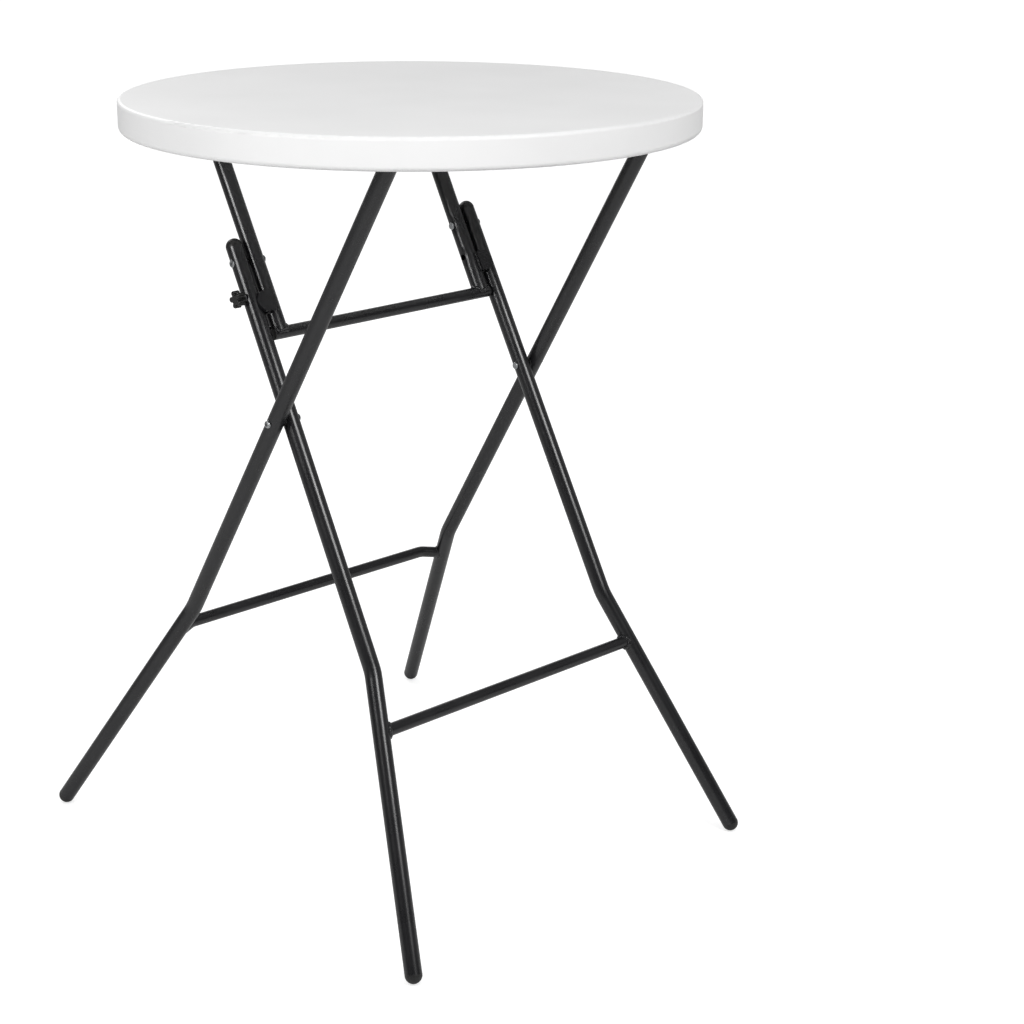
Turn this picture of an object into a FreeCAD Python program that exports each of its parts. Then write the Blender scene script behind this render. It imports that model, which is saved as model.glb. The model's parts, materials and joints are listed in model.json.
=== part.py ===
import FreeCAD, Part
import math
import os
import Sketcher
from FreeCAD import Placement, Rotation, Vector

# Folding cocktail table: a round moulded top on two crossed leg frames of bent tube.
# The outer frame hinges under the top on the +X side. The inner frame crosses it at the
# scissor pivots. A short brace frame hinges under the top on the -X side and runs down
# in line with the inner legs, bolted to them at the brace pivots.
# Lengths are millimetres and angles are degrees. The floor is Z = 0, and the origin lies under the
# middle of the whole table as it stands, so the top stands a little to the +X side of it.

doc = FreeCAD.newDocument("folding_cocktail_table")

# Driving dimensions
DIMS = [
    ("top_diameter", 800.0, "round top across"),
    ("table_height", 1105.0, "floor to the face of the top"),
    ("rim_height", 42.5, "rim from its top edge to its lower edge"),
    ("rim_width", 14.0, "rim wall below the panel"),
    ("rim_edge_top", 5.0, "rounding of the upper rim edge"),
    ("rim_edge_low", 6.8, "rounding of the lower rim edges"),
    ("panel_thickness", 9.5, "panel inside the rim"),
    ("recess_round", 6.0, "rounding where panel and rim meet underneath"),
    ("dimple_diameter", 36.0, "moulded dimples underneath"),
    ("dimple_depth", 3.0, "depth of the dimples"),
    ("dimple_ring_inner", 100.0, "radius of the inner ring of dimples"),
    ("dimple_ring_middle", 190.0, "radius of the middle ring of dimples"),
    ("dimple_rim_inset", 46.0, "outer ring of dimples from the rim"),
    ("top_offset", 16.5, "middle of the top from the middle of the whole table"),
    ("hinge_drop", 30.0, "hinge axes below the face of the top"),
    ("scissor_drop", 423.0, "scissor pivots below the face of the top"),
    ("scissor_offset", -6.0, "scissor pivot from the middle of the top"),
    ("outer_lean", 58.2, "outer legs from the floor"),
    ("inner_lean", 61.77, "inner legs and braces from the floor"),
    ("outer_folded", 6.6, "outer legs below level when folded"),
    ("brace_folded", 1.786, "braces below level when folded"),
    ("leg_diameter", 24.0, "leg, brace and hinge tube"),
    ("leg_wall", 1.2, "wall of that tube"),
    ("bend_radius", 80.0, "centre line radius of the leg bends"),
    ("hinge_inset", 40.9, "ends of the outer hinge tube from the rim"),
    ("outer_draw", 14.0, "outer legs wider at the bend than at the hinge, each side"),
    ("outer_flare", 104.3, "outer legs wider at the foot than at the bend, each side"),
    ("outer_bend_height", 357.0, "outer bend above the floor"),
    ("scissor_gap", 2.25, "gap between outer and inner legs at the scissor pivots"),
    ("inner_draw", 8.35, "inner legs wider at the bend than at the upper end, each side"),
    ("inner_flare", 96.25, "inner legs wider at the foot than at the bend, each side"),
    ("inner_bend_height", 361.0, "inner bend above the floor"),
    ("inner_overrun", 23.0, "inner tube past the brace pivot"),
    ("brace_gap", 3.6, "gap between inner legs and braces at the brace pivots"),
    ("bar_diameter", 17.5, "crossbar tube"),
    ("bar_wall", 1.2, "wall of the crossbar tube"),
    ("outer_bar_drop", 47.7, "outer crossbar ends below the outer bends"),
    ("outer_bar_offset", 14.0, "outer crossbar span behind its frame"),
    ("outer_bar_crank", 37.5, "outer crossbar knees from the legs"),
    ("bar_knee_radius", 30.0, "centre line radius of those knees"),
    ("inner_bar_drop", 72.0, "inner crossbar below the inner bends"),
    ("brace_bar_run", 107.0, "brace crossbar past the brace pivot"),
    ("weld_gap", 0.2, "root gap of a welded joint"),
    ("seat_gap", 0.3, "gap where a piece rests on another"),
    ("run_fit", 0.08, "radial play of a turning fit"),
    ("plug_fit", 0.1, "radial play of a plug in its tube"),
    ("plug_length", 18.0, "plug of a foot or cap"),
    ("end_plug_length", 8.0, "plug in a hinge or crossbar end"),
    ("end_plug_flange", 1.5, "flange of that plug"),
    ("bolt_diameter", 6.0, "pivot bolts"),
    ("bolt_head_diameter", 10.5, "low round heads of the bolts"),
    ("scissor_head", 3.6, "head height at the scissor pivots"),
    ("pivot_head", 1.8, "head height at the brace pivots"),
    ("socket_flats", 4.0, "hexagon socket of the heads across its flats"),
    ("socket_depth", 1.6, "depth of that socket"),
    ("nut_diameter", 10.5, "low domed nuts"),
    ("nut_height", 2.2, "height of those nuts"),
    ("nut_bore", 1.4, "blind bore of the scissor nuts"),
    ("spacer_diameter", 14.0, "spacers between outer and inner legs"),
    ("collar_diameter", 10.0, "collars of the brace pivots"),
    ("stop_run", 62.5, "middle of the stop brackets past the brace pivot"),
    ("stop_height", 30.0, "stop bracket along the tube"),
    ("stop_lap", 12.5, "stop bracket over the inner leg"),
    ("stop_back_lap", 7.5, "stop bracket over the brace"),
    ("stop_flange", 4.0, "flange of the stop bracket"),
    ("stop_web", 3.0, "web of the stop bracket"),
    ("stop_web_depth", 18.0, "web of the bracket behind its flange"),
    ("stop_corner", 13.0, "rounding of the flange corners"),
    ("lock_run", 50.0, "locking screw past the brace pivot"),
    ("lock_diameter", 6.0, "locking screw"),
    ("lock_hole_diameter", 9.0, "locking hole in the braces"),
    ("insert_diameter", 10.0, "threaded insert of the locking screw"),
    ("insert_length", 14.0, "insert from its flange inwards"),
    ("insert_flange_diameter", 14.0, "flange of the insert"),
    ("insert_flange", 1.0, "flange thickness"),
    ("knob_diameter", 25.0, "star knob across its lobes"),
    ("knob_lobe_diameter", 8.0, "one lobe"),
    ("knob_hub_diameter", 15.0, "body of the knob between the lobes"),
    ("knob_height", 10.0, "lobed part of the knob"),
    ("knob_neck_diameter", 16.0, "neck of the knob"),
    ("knob_neck", 4.5, "neck length"),
    ("knob_round", 2.0, "rounding of the knob's outer edge"),
    ("knob_socket", 9.0, "locking screw inside the knob"),
    ("saddle_inset", 17.8, "saddles from the brace tubes"),
    ("saddle_width", 24.0, "saddle along the hinge tube"),
    ("saddle_wall", 4.5, "saddle around the hinge tube"),
    ("saddle_flange", 5.0, "saddle flange thickness"),
    ("saddle_flange_half", 32.0, "saddle flange from the hinge axis"),
    ("screw_diameter", 4.0, "saddle screws"),
    ("screw_head_diameter", 8.0, "saddle screw heads"),
    ("screw_head", 2.4, "saddle screw head height"),
    ("screw_depth", 6.0, "saddle screws in the panel"),
    ("screw_spread", 24.0, "saddle screws from the hinge axis"),
]
LOBE_COUNT = 5
INNER_DIMPLE_COUNT = 6
MIDDLE_DIMPLE_COUNT = 12
OUTER_DIMPLE_COUNT = 24

# Places that follow from the driving dimensions
PLACES = [
    # Section of the top
    ("top_radius", "Dims.top_diameter / 2"),
    ("rim_inside", "top_radius - Dims.rim_width"),
    ("rim_bottom", "Dims.table_height - Dims.rim_height"),
    ("underside", "Dims.table_height - Dims.panel_thickness"),
    ("dimple_radius", "Dims.dimple_diameter / 2"),
    ("dimple_ring_outer", "rim_inside - Dims.dimple_rim_inset"),
    # Hinges and pivots
    ("hinge_z", "Dims.table_height - Dims.hinge_drop"),
    ("rise", "Dims.scissor_drop - Dims.hinge_drop"),
    ("scissor_x", "Dims.top_offset + Dims.scissor_offset"),
    ("outer_turn", "180 - Dims.outer_lean"),
    ("sin_outer", "sin(Dims.outer_lean * 1 deg)"),
    ("sin_inner", "sin(Dims.inner_lean * 1 deg)"),
    ("outer_reach", "rise / sin_outer"),
    ("inner_reach", "rise / sin_inner"),
    ("outer_hinge_x", "scissor_x + rise / tan(Dims.outer_lean * 1 deg)"),
    ("brace_hinge_x", "scissor_x - rise / tan(Dims.inner_lean * 1 deg)"),
    ("hinge_span", "outer_hinge_x - brace_hinge_x"),
    # Scissor pivot from the brace hinge when folded, and the brace that closes the linkage there
    ("fold_x", "hinge_span - outer_reach * cos(Dims.outer_folded * 1 deg)"),
    ("fold_z", "-outer_reach * sin(Dims.outer_folded * 1 deg)"),
    ("fold_along", "fold_x * cos(Dims.brace_folded * 1 deg) - fold_z * sin(Dims.brace_folded * 1 deg)"),
    ("brace_reach", "(inner_reach ^ 2 - fold_x ^ 2 - fold_z ^ 2) / (2 * (inner_reach - fold_along))"),
    ("leg_radius", "Dims.leg_diameter / 2"),
    ("leg_bore", "leg_radius - Dims.leg_wall"),
    ("bar_radius", "Dims.bar_diameter / 2"),
    ("bar_bore", "bar_radius - Dims.bar_wall"),
    ("outer_bend_u", "(hinge_z - Dims.outer_bend_height) / sin_outer"),
    ("outer_foot_u", "(hinge_z - leg_radius) / sin_outer"),
    ("outer_bar_u", "outer_bend_u + Dims.outer_bar_drop / sin_outer"),
    ("inner_top_u", "brace_reach - Dims.inner_overrun"),
    ("inner_bend_u", "(hinge_z - Dims.inner_bend_height) / sin_inner"),
    ("inner_foot_u", "(hinge_z - leg_radius) / sin_inner"),
    ("inner_bar_u", "inner_bend_u + Dims.inner_bar_drop / sin_inner"),
    ("brace_bar_u", "brace_reach + Dims.brace_bar_run"),
    ("lock_u", "brace_reach + Dims.lock_run"),
    ("stop_u", "brace_reach + Dims.stop_run"),
    # The outer hinge tube fits across the recess, and the other frames nest inside the outer one
    ("hinge_edge", "outer_hinge_x - Dims.top_offset + leg_radius"),
    ("hinge_chord", "sqrt(rim_inside ^ 2 - hinge_edge ^ 2)"),
    ("outer_half_hinge", "hinge_chord - Dims.hinge_inset - Dims.end_plug_flange - leg_radius"),
    ("outer_half_bend", "outer_half_hinge + Dims.outer_draw"),
    ("outer_half_foot", "outer_half_bend + Dims.outer_flare"),
    ("outer_slope", "Dims.outer_draw / outer_bend_u"),
    ("outer_splay", "Dims.outer_flare / (outer_foot_u - outer_bend_u)"),
    ("outer_half_scissor", "outer_half_hinge + outer_slope * outer_reach"),
    ("outer_half_bar", "outer_half_bend + outer_splay * (outer_bar_u - outer_bend_u)"),
    ("inner_slope", "Dims.inner_draw / (inner_bend_u - inner_top_u)"),
    ("inner_splay", "Dims.inner_flare / (inner_foot_u - inner_bend_u)"),
    ("inner_half_scissor", "outer_half_scissor - Dims.leg_diameter - Dims.scissor_gap"),
    ("inner_half_top", "inner_half_scissor - inner_slope * (inner_reach - inner_top_u)"),
    ("inner_half_bend", "inner_half_top + Dims.inner_draw"),
    ("inner_half_foot", "inner_half_bend + Dims.inner_flare"),
    ("inner_half_pivot", "inner_half_top + inner_slope * (brace_reach - inner_top_u)"),
    ("inner_half_lock", "inner_half_top + inner_slope * (lock_u - inner_top_u)"),
    ("inner_half_stop", "inner_half_top + inner_slope * (stop_u - inner_top_u)"),
    ("inner_half_bar", "inner_half_bend + inner_splay * (inner_bar_u - inner_bend_u)"),
    ("brace_half", "inner_half_pivot - Dims.leg_diameter - Dims.brace_gap"),
    ("saddle_half", "brace_half - leg_radius - Dims.saddle_inset - Dims.saddle_width / 2"),
    # Radii of fits and copes
    ("cope_leg", "leg_radius + Dims.weld_gap"),
    ("cope_bar", "bar_radius + Dims.weld_gap"),
    ("plug_radius", "leg_bore - Dims.plug_fit"),
    ("bar_plug_radius", "bar_bore - Dims.plug_fit"),
    ("bolt_radius", "Dims.bolt_diameter / 2"),
    ("bolt_bore", "bolt_radius + Dims.run_fit"),
    ("head_radius", "Dims.bolt_head_diameter / 2"),
    ("socket_radius", "Dims.socket_flats / 2 / cos(30 * 1 deg)"),
    ("nut_radius", "Dims.nut_diameter / 2"),
    ("spacer_radius", "Dims.spacer_diameter / 2"),
    ("collar_radius", "Dims.collar_diameter / 2"),
    ("lock_radius", "Dims.lock_diameter / 2"),
    ("lock_bore", "lock_radius + Dims.run_fit"),
    ("lock_hole_radius", "Dims.lock_hole_diameter / 2"),
    ("insert_radius", "Dims.insert_diameter / 2"),
    ("insert_bore", "insert_radius + Dims.plug_fit"),
    ("insert_flange_radius", "Dims.insert_flange_diameter / 2"),
    ("screw_radius", "Dims.screw_diameter / 2"),
    ("screw_bore", "screw_radius + Dims.plug_fit"),
    ("screw_head_radius", "Dims.screw_head_diameter / 2"),
    ("saddle_bore", "leg_radius + Dims.run_fit"),
    ("saddle_radius", "saddle_bore + Dims.saddle_wall"),
    ("saddle_seat", "Dims.hinge_drop - Dims.panel_thickness"),
]

dims = doc.addObject("Spreadsheet::Sheet", "Dims")
for row, (alias, size, note) in enumerate(DIMS, start=1):
    dims.set("A%d" % row, alias)
    dims.set("B%d" % row, str(size))
    dims.setAlias("B%d" % row, alias)
    dims.set("C%d" % row, note)
doc.recompute()

places = doc.addObject("Spreadsheet::Sheet", "Places")
for row, (alias, formula) in enumerate(PLACES, start=1):
    places.set("A%d" % row, alias)
    places.set("B%d" % row, "=" + formula)
    places.setAlias("B%d" % row, alias)
doc.recompute()

DRIVING = {alias for alias, size, note in DIMS}


def cell(alias):
    """The expression that binds a property to a named size."""
    return ("Dims." if alias in DRIVING else "Places.") + alias


def size(alias):
    """The value of a named size."""
    return float(getattr(dims if alias in DRIVING else places, alias))


# Frames of reference: u runs down the legs, v across the table, w out of the frame's face
def frame(hinge_x, turn):
    return Placement(Vector(hinge_x, 0, size("hinge_z")), Rotation(Vector(0, 1, 0), turn))


outer = frame(size("outer_hinge_x"), size("outer_turn"))
inner = frame(size("brace_hinge_x"), size("inner_lean"))
HALF_TURN = Placement(Vector(), Rotation(Vector(1, 0, 0), 180))
ACROSS = Rotation(Vector(0, 0, 1), Vector(0, 1, 0))
BACK_ACROSS = Rotation(Vector(0, 0, 1), Vector(0, -1, 0))
DOWN_LEG = Rotation(Vector(0, 0, 1), Vector(1, 0, 0))
UP_LEG = Rotation(Vector(0, 0, 1), Vector(-1, 0, 0))
NEAR, FAR = -1, 1
SIDES = ((NEAR, "near"), (FAR, "far"))

pieces = []


def keep(shape_object, label):
    """Registers a finished piece under its own name."""
    shape_object.Label = label
    pieces.append(shape_object)
    return shape_object


def outwards(side):
    return ACROSS if side == FAR else BACK_ACROSS


def inwards(side):
    return BACK_ACROSS if side == FAR else ACROSS


def at(base, u, v, w, rotation=Rotation()):
    return base.multiply(Placement(Vector(u, v, w), rotation))


def rod(radius, length, placement):
    """A solid cylinder whose radius is a named size; its length is a named size or a distance."""
    solid = doc.addObject("Part::Cylinder", "rod")
    solid.setExpression("Radius", cell(radius))
    if isinstance(length, str):
        solid.setExpression("Height", cell(length))
    else:
        solid.Height = length
    solid.Placement = placement
    return solid


def fuse(solids):
    joined = doc.addObject("Part::MultiFuse", "fuse")
    joined.Shapes = solids
    joined.Refine = True
    return joined


def cut(base, tools):
    result = doc.addObject("Part::Cut", "cut")
    result.Base = base
    result.Tool = tools[0] if len(tools) == 1 else fuse(tools)
    return result


def group(solids):
    together = doc.addObject("Part::Compound", "group")
    together.Links = solids
    return together


def tube(radius, bore, length, placement):
    return cut(rod(radius, length, placement), [rod(bore, length, placement)])


def body(name):
    return doc.addObject("PartDesign::Body", name)


def sketch_on(owner, role, name):
    sketch = owner.newObject("Sketcher::SketchObject", name)
    plane = [item for item in owner.Origin.OriginFeatures if item.Role == role][0]
    sketch.AttachmentSupport = [(plane, "")]
    sketch.MapMode = "FlatFace"
    return sketch


def pin_point(sketch, geometry, end, x, y):
    """Fixes a point of a sketch at two named sizes; None stands for zero."""
    for kind, alias in (("DistanceX", x), ("DistanceY", y)):
        value = size(alias) if alias else 0.0
        index = sketch.addConstraint(Sketcher.Constraint(kind, -1, 1, geometry, end, value))
        if alias:
            sketch.setExpression("Constraints[%d]" % index, cell(alias))


def circle(sketch, x, y, radius):
    index = sketch.addGeometry(Part.Circle(Vector(size(x) if x else 0, size(y) if y else 0, 0),
                                           Vector(0, 0, 1), size(radius)))
    pin_point(sketch, index, 3, x, y)
    limit = sketch.addConstraint(Sketcher.Constraint("Radius", index, size(radius)))
    sketch.setExpression("Constraints[%d]" % limit, cell(radius))


def polygon(sketch, corners):
    """A closed outline whose corners are pairs of named sizes."""
    points = [Vector(size(x) if x else 0, size(y) if y else 0, 0) for x, y in corners]
    lines = []
    for index, start in enumerate(points):
        lines.append(sketch.addGeometry(Part.LineSegment(start, points[(index + 1) % len(points)])))
    for index, line in enumerate(lines):
        follower = lines[(index + 1) % len(lines)]
        sketch.addConstraint(Sketcher.Constraint("Coincident", line, 2, follower, 1))
    for line, (x, y) in zip(lines, corners):
        pin_point(sketch, line, 1, x, y)


def rounded_path(sketch, start, corner, end, radius):
    """Two straight runs joined at a corner by a tangent arc; each point is a pair of named sizes."""
    first, knee, last = [Vector(size(x) if x else 0, size(y) if y else 0, 0) for x, y in (start, corner, end)]
    into = (knee - first).normalize()
    out = (last - knee).normalize()
    setback = size(radius) * abs(Vector(into).cross(out).Length) / (1 + into.dot(out))
    enter = knee - into * setback
    leave = knee + out * setback
    bisector = (out - into).normalize()
    reach = (size(radius) ** 2 + setback ** 2) ** 0.5
    middle = knee + bisector * (reach - size(radius))
    run = sketch.addGeometry(Part.LineSegment(first, enter))
    arc = sketch.addGeometry(Part.Arc(enter, middle, leave))
    rest = sketch.addGeometry(Part.LineSegment(leave, last))
    mark = sketch.addGeometry(Part.Point(knee), True)
    pin_point(sketch, run, 1, *start)
    pin_point(sketch, rest, 2, *end)
    pin_point(sketch, mark, 1, *corner)
    # The arc's own direction decides which of its ends the first run meets
    begins = sketch.Geometry[arc].StartPoint.distanceToPoint(enter) < 1e-6
    near_end, far_end = (1, 2) if begins else (2, 1)
    sketch.addConstraint(Sketcher.Constraint("Tangent", run, 2, arc, near_end))
    sketch.addConstraint(Sketcher.Constraint("Tangent", rest, 1, arc, far_end))
    sketch.addConstraint(Sketcher.Constraint("PointOnObject", mark, 1, run))
    sketch.addConstraint(Sketcher.Constraint("PointOnObject", mark, 1, rest))
    limit = sketch.addConstraint(Sketcher.Constraint("Radius", arc, size(radius)))
    sketch.setExpression("Constraints[%d]" % limit, cell(radius))


def bent_tube(name, start, corner, end, slope, placement):
    """A leg: round tube swept down a bent path in the u-v plane, its section square to the first run."""
    owner = body(name)
    path = sketch_on(owner, "XY_Plane", name + "_path")
    rounded_path(path, start, corner, end, "bend_radius")
    for radius, feature in (("leg_radius", "AdditivePipe"), ("leg_bore", "SubtractivePipe")):
        section = sketch_on(owner, "YZ_Plane", name + "_" + radius)
        square = Rotation(Vector(0, 1, 0), math.degrees(math.atan(size(slope))))
        section.AttachmentOffset = Placement(Vector(), square)
        section.setExpression("AttachmentOffset.Base.x", cell(start[1]))
        if start[0]:
            section.setExpression("AttachmentOffset.Base.z", cell(start[0]))
        circle(section, None, None, radius)
        doc.recompute()
        sweep = owner.newObject("PartDesign::" + feature, name + "_" + feature)
        sweep.Profile = section
        sweep.Spine = (path, [])
        doc.recompute()
    owner.Placement = placement
    return owner


def hole(base, u, side, radius, length, v):
    """A drill along v, from a plane at distance v from the middle outwards."""
    return rod(radius, length, at(base, u, side * v, 0, outwards(side)))


def drill(base, u, radius):
    """A drill right across both legs of a frame."""
    reach = size("top_radius")
    return rod(radius, 2 * reach, at(base, u, -reach, 0, ACROSS))


def leg_stick(base, side, u, half, splay, radius):
    """A solid stick along a leg's lower run, for coping a crossbar to it."""
    reach = size("leg_diameter") * 4
    axis = Vector(1, side * splay, 0).normalize()
    foot = Vector(u, side * half, 0) - axis * reach
    return rod(radius, 2 * reach, base.multiply(Placement(foot, Rotation(Vector(0, 0, 1), axis))))


def dome_plug(label, base, u, v, axis):
    """A domed cap: half a ball on the tube's end and a plug inside the tube; axis points out of the tube."""
    seat = base.multiply(Placement(Vector(u, v, 0), Rotation(Vector(0, 0, 1), axis)))
    dome = doc.addObject("Part::Sphere", label + "_dome")
    dome.setExpression("Radius", cell("leg_radius"))
    dome.Angle1 = 0
    dome.Angle2 = 90
    dome.Placement = seat
    stem = rod("plug_radius", "plug_length", at(seat, 0, 0, -size("plug_length")))
    keep(fuse([dome, stem]), label)


def end_plug(base, u, v, side, radius, bore_radius):
    """A flat plug in the open end of a cross tube."""
    flange = rod(radius, "end_plug_flange", at(base, u, side * v, 0, outwards(side)))
    stem = rod(bore_radius, "end_plug_length", at(base, u, side * v, 0, inwards(side)))
    return fuse([flange, stem])


def low_head(radius, height, placement):
    """A low bolt or screw head, rounded over its rim."""
    blank = rod(radius, height, placement)
    doc.recompute()
    rim = 1 + max(range(3), key=lambda index: blank.Shape.Edges[index].Length
                  + blank.Shape.Edges[index].CenterOfMass.distanceToPoint(placement.Base))
    dome = doc.addObject("Part::Fillet", "head")
    dome.Base = blank
    round_over = 0.6 * size(height)
    dome.Edges = [(rim, round_over, round_over)]
    return dome


def socket_head(radius, height, placement):
    """A low head with a hexagon socket."""
    socket = doc.addObject("Part::Prism", "socket")
    socket.Polygon = 6
    socket.setExpression("Circumradius", cell("socket_radius"))
    socket.setExpression("Height", cell("socket_depth"))
    socket.Placement = at(placement, 0, 0, size(height) - size("socket_depth"))
    return cut(low_head(radius, height, placement), [socket])


def ring(radius, bore, length, placement):
    return tube(radius, bore, length, placement)


# Round top, turned about its middle
top_body = body("tabletop_body")
section = sketch_on(top_body, "XZ_Plane", "top_section")
polygon(section, [(None, "underside"), (None, "table_height"), ("top_radius", "table_height"),
                  ("top_radius", "rim_bottom"), ("rim_inside", "rim_bottom"), ("rim_inside", "underside")])
doc.recompute()
turned = top_body.newObject("PartDesign::Revolution", "top_turned")
turned.Profile = section
turned.ReferenceAxis = (section, ["V_Axis"])
turned.Angle = 360
doc.recompute()


def ring_edges(feature, radius, height):
    """The names of a turned body's edges at a radius and a height."""
    names = []
    for index, edge in enumerate(feature.Shape.Edges, start=1):
        box = edge.BoundBox
        if abs(box.XMax - radius) < 1e-6 and abs(box.ZMin - height) < 1e-6 and abs(box.ZMax - height) < 1e-6:
            names.append("Edge%d" % index)
    return names


for name, radius, spots in (
        ("rim_top_round", "rim_edge_top", (("top_radius", "table_height"),)),
        ("rim_low_round", "rim_edge_low", (("top_radius", "rim_bottom"), ("rim_inside", "rim_bottom"))),
        ("recess_fillet", "recess_round", (("rim_inside", "underside"),))):
    basis = top_body.Tip
    rounded = top_body.newObject("PartDesign::Fillet", name)
    edges = []
    for edge_radius, edge_height in spots:
        edges += ring_edges(basis, size(edge_radius), size(edge_height))
    rounded.Base = (basis, edges)
    rounded.setExpression("Radius", cell(radius))
    doc.recompute()

top_body.setExpression("Placement.Base.x", cell("top_offset"))
upright = [item for item in top_body.Origin.OriginFeatures if item.Role == "Z_Axis"][0]
for name, count, ring_radius in (("inner", INNER_DIMPLE_COUNT, "dimple_ring_inner"),
                                 ("middle", MIDDLE_DIMPLE_COUNT, "dimple_ring_middle"),
                                 ("outer", OUTER_DIMPLE_COUNT, "dimple_ring_outer")):
    before = top_body.Tip.Shape.Volume
    spot = sketch_on(top_body, "XY_Plane", "dimple_" + name)
    spot.setExpression("AttachmentOffset.Base.z", cell("underside"))
    circle(spot, ring_radius, None, "dimple_radius")
    doc.recompute()
    dimple = top_body.newObject("PartDesign::Pocket", "dimple_pocket_" + name)
    dimple.Profile = spot
    dimple.setExpression("Length", cell("dimple_depth"))
    dimple.Reversed = True
    doc.recompute()
    pattern = top_body.newObject("PartDesign::PolarPattern", "dimple_pattern_" + name)
    pattern.Originals = [dimple]
    pattern.Axis = (upright, [""])
    pattern.Angle = 360
    pattern.Occurrences = count
    top_body.Tip = pattern
    doc.recompute()
    wanted = count * math.pi * size("dimple_radius") ** 2 * size("dimple_depth")
    if abs(before - pattern.Shape.Volume - wanted) > 0.01 * wanted:
        raise RuntimeError("dimples of the %s ring are not cut" % name)

# Saddles that hold the hinge tubes under the top, and their screws
screws, pilots = [], []
for frame_name, hinge_x in (("outer", size("outer_hinge_x")), ("brace", size("brace_hinge_x"))):
    for side, side_name in SIDES:
        half_width = size("saddle_width") / 2
        middle = Placement(Vector(hinge_x, side * size("saddle_half"), size("hinge_z")), Rotation())
        flange = doc.addObject("Part::Box", "saddle_flange")
        flange.Length = 2 * size("saddle_flange_half")
        flange.setExpression("Width", cell("saddle_width"))
        flange.setExpression("Height", cell("saddle_flange"))
        flange.Placement = at(middle, -size("saddle_flange_half"), -half_width,
                              size("saddle_seat") - size("saddle_flange"))
        web = doc.addObject("Part::Box", "saddle_web")
        web.Length = 2 * size("saddle_radius")
        web.setExpression("Width", cell("saddle_width"))
        web.setExpression("Height", cell("saddle_seat"))
        web.Placement = at(middle, -size("saddle_radius"), -half_width, 0)
        eye = rod("saddle_radius", "saddle_width", at(middle, 0, -half_width, 0, ACROSS))
        openings = [rod("saddle_bore", "saddle_width", at(middle, 0, -half_width, 0, ACROSS))]
        for sign in (-1, 1):
            seat = at(middle, sign * size("screw_spread"), 0, size("saddle_seat") - size("saddle_flange"))
            openings.append(rod("screw_bore", "saddle_flange", seat))
            shank_length = size("saddle_flange") + size("screw_depth")
            shank = rod("screw_radius", shank_length, seat)
            head = low_head("screw_head_radius", "screw_head", at(seat, 0, 0, 0, Rotation(Vector(1, 0, 0), 180)))
            screws.append(fuse([shank, head]))
            pilots.append(rod("screw_bore", shank_length + size("seat_gap"), seat))
        keep(cut(fuse([flange, web, eye]), openings), "%s_saddle_%s" % (frame_name, side_name))
keep(group(screws), "saddle_screws")
keep(cut(top_body, pilots), "tabletop")

# Hinge tubes and the brace frame's crossbar, with a plug in each end
for frame_name, base, half in (("outer", outer, "outer_half_hinge"), ("brace", inner, "brace_half")):
    length = 2 * (size(half) + size("leg_radius"))
    start = -length / 2
    keep(tube("leg_radius", "leg_bore", length, at(base, 0, start, 0, ACROSS)), frame_name + "_hinge_tube")
bar_length = 2 * (size("brace_half") + size("leg_radius"))
keep(tube("bar_radius", "bar_bore", bar_length, at(inner, size("brace_bar_u"), -bar_length / 2, 0, ACROSS)),
     "brace_crossbar")
outer_end = size("outer_half_hinge") + size("leg_radius")
keep(group([end_plug(outer, 0, outer_end, side, "leg_radius", "plug_radius") for side, name in SIDES]),
     "outer_hinge_plugs")
brace_plugs = []
for side, side_name in SIDES:
    brace_plugs.append(end_plug(inner, 0, bar_length / 2, side, "leg_radius", "plug_radius"))
    brace_plugs.append(end_plug(inner, size("brace_bar_u"), bar_length / 2, side, "bar_radius", "bar_plug_radius"))
keep(group(brace_plugs), "brace_plugs")

# Outer legs: coped to their hinge tube and drilled for the scissor bolts
for side, side_name in SIDES:
    owner = bent_tube("outer_leg_%s_body" % side_name, (None, "outer_half_hinge"),
                      ("outer_bend_u", "outer_half_bend"), ("outer_foot_u", "outer_half_foot"), "outer_slope",
                      outer if side == FAR else outer.multiply(HALF_TURN))
    keep(cut(owner, [drill(outer, 0, "cope_leg"), drill(outer, size("outer_reach"), "bolt_bore")]),
         "outer_leg_" + side_name)
    axis = Vector(1, side * size("outer_splay"), 0).normalize()
    dome_plug("outer_foot_" + side_name, outer, size("outer_foot_u"), side * size("outer_half_foot"), axis)

# Inner legs: drilled for both pivots and, on the near leg, for the locking screw
for side, side_name in SIDES:
    owner = bent_tube("inner_leg_%s_body" % side_name, ("inner_top_u", "inner_half_top"),
                      ("inner_bend_u", "inner_half_bend"), ("inner_foot_u", "inner_half_foot"), "inner_slope",
                      inner if side == FAR else inner.multiply(HALF_TURN))
    drills = [drill(inner, size("inner_reach"), "bolt_bore"), drill(inner, size("brace_reach"), "bolt_bore")]
    if side == NEAR:
        reach = size("leg_diameter")
        drills.append(hole(inner, size("lock_u"), side, "lock_bore", reach, size("inner_half_lock") - reach))
        drills.append(hole(inner, size("lock_u"), side, "insert_bore", reach, size("inner_half_lock")))
    keep(cut(owner, drills), "inner_leg_" + side_name)
    axis = Vector(1, side * size("inner_splay"), 0).normalize()
    dome_plug("inner_foot_" + side_name, inner, size("inner_foot_u"), side * size("inner_half_foot"), axis)
    axis = Vector(-1, -side * size("inner_slope"), 0).normalize()
    dome_plug("inner_cap_" + side_name, inner, size("inner_top_u"), side * size("inner_half_top"), axis)

# Inner crossbar, straight between the splayed legs and coped to them
copes = [leg_stick(inner, side, size("inner_bar_u"), size("inner_half_bar"), size("inner_splay"), "cope_leg")
         for side, name in SIDES]
bar_length = 2 * size("inner_half_bar")
keep(cut(tube("bar_radius", "bar_bore", bar_length, at(inner, size("inner_bar_u"), -bar_length / 2, 0, ACROSS)),
         copes), "inner_crossbar")

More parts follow.
